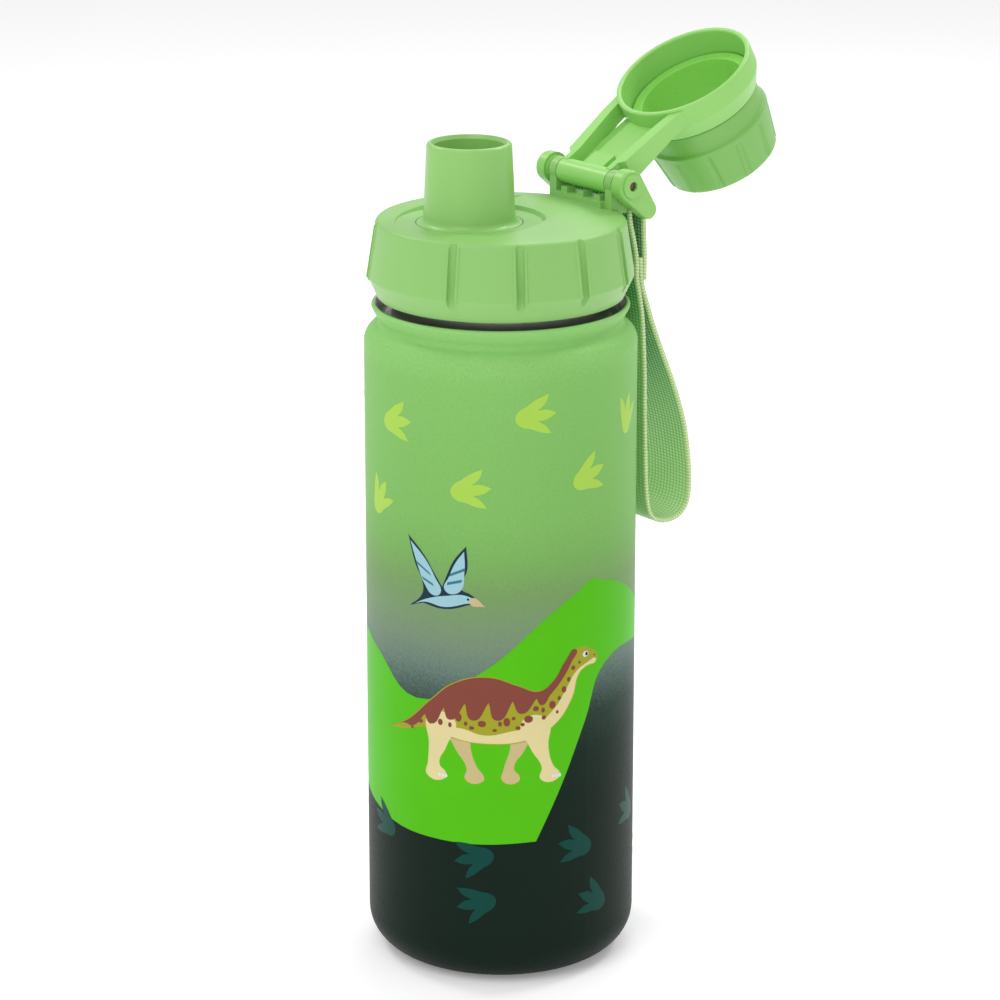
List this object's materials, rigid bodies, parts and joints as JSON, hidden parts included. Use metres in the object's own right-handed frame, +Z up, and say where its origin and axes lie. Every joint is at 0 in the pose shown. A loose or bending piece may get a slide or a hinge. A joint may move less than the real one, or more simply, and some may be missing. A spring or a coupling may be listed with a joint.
{
  "type": "water bottle",
  "caption": "Kids' insulated steel water bottle with a screw lid, an open drinking spout, a hinged cap on an arm and a webbing hand loop.",
  "frame": {"origin": "centre of the foot ring, on the plane that the bottle stands on", "axes": "+Z up along the bottle's axis, +Y towards the hinge and the strap, +X along the hinge pin; the spout leans to the -Y side"},
  "size_m": [0.073, 0.1282, 0.2465],
  "materials": {
    "powder_coat": "powder coat that fades from green to near black",
    "bare_steel": "bare stainless steel, brushed",
    "seal_glass": "dark sealing glass",
    "getter": "pressed metal powder",
    "lid_plastic": "satin moulded polypropylene",
    "spout_plastic": "smooth moulded polypropylene",
    "cap_plastic": "smooth moulded polypropylene",
    "silicone": "translucent white silicone",
    "pin_steel": "drawn stainless wire",
    "webbing": "woven polyester webbing",
    "thread": "polyester thread"
  },
  "bodies": {
    "bottle": {"outer_shell": "powder_coat", "inner_liner": "bare_steel", "base_cup": "bare_steel", "vacuum_seal": "seal_glass", "getter_pellet": "getter"},
    "gasket": {"lid_gasket": "silicone"},
    "lid": {"lid_shell": "lid_plastic", "lid_core": "spout_plastic", "hinge_pin": "pin_steel"},
    "arm": {"cap_arm": "lid_plastic"},
    "knob": {"cap_knob": "lid_plastic", "knob_liner": "cap_plastic", "cap_seal": "silicone"},
    "yoke": {"strap_yoke": "lid_plastic"},
    "strap": {"strap_webbing": "webbing", "tab_stitches": "thread"}
  },
  "joints": [
    {"name": "lid_rise", "type": "slide", "parent": "bottle", "child": "gasket", "axis": [0, 0, 1], "range_m": [0, 0.01001]},
    {"name": "lid_twist", "type": "hinge", "parent": "gasket", "child": "lid", "pos_m": [0, 0, 0.2], "axis": [0, 0, 1], "range_deg": [0, 900]},
    {"name": "cap_hinge", "type": "hinge", "parent": "lid", "child": "arm", "pos_m": [0, 0.0303, 0.212], "axis": [-1, 0, 0], "range_deg": [-149.7, 8]},
    {"name": "knob_turn", "type": "hinge", "parent": "arm", "child": "knob", "pos_m": [0, 0.063, 0.2369], "axis": [0, 0.5045, -0.8634], "continuous": true},
    {"name": "yoke_swing", "type": "hinge", "parent": "lid", "child": "yoke", "pos_m": [0, 0.0303, 0.212], "axis": [1, 0, 0], "range_deg": [0, 12]},
    {"name": "strap_swing", "type": "hinge", "parent": "yoke", "child": "strap", "pos_m": [0, 0.0368, 0.2046], "axis": [1, 0, 0], "range_deg": [0, 40]}
  ],
  "couplings": [
    {"joint": "lid_rise", "follows": "lid_twist", "m_per_rad": 0.00063662}
  ]
}
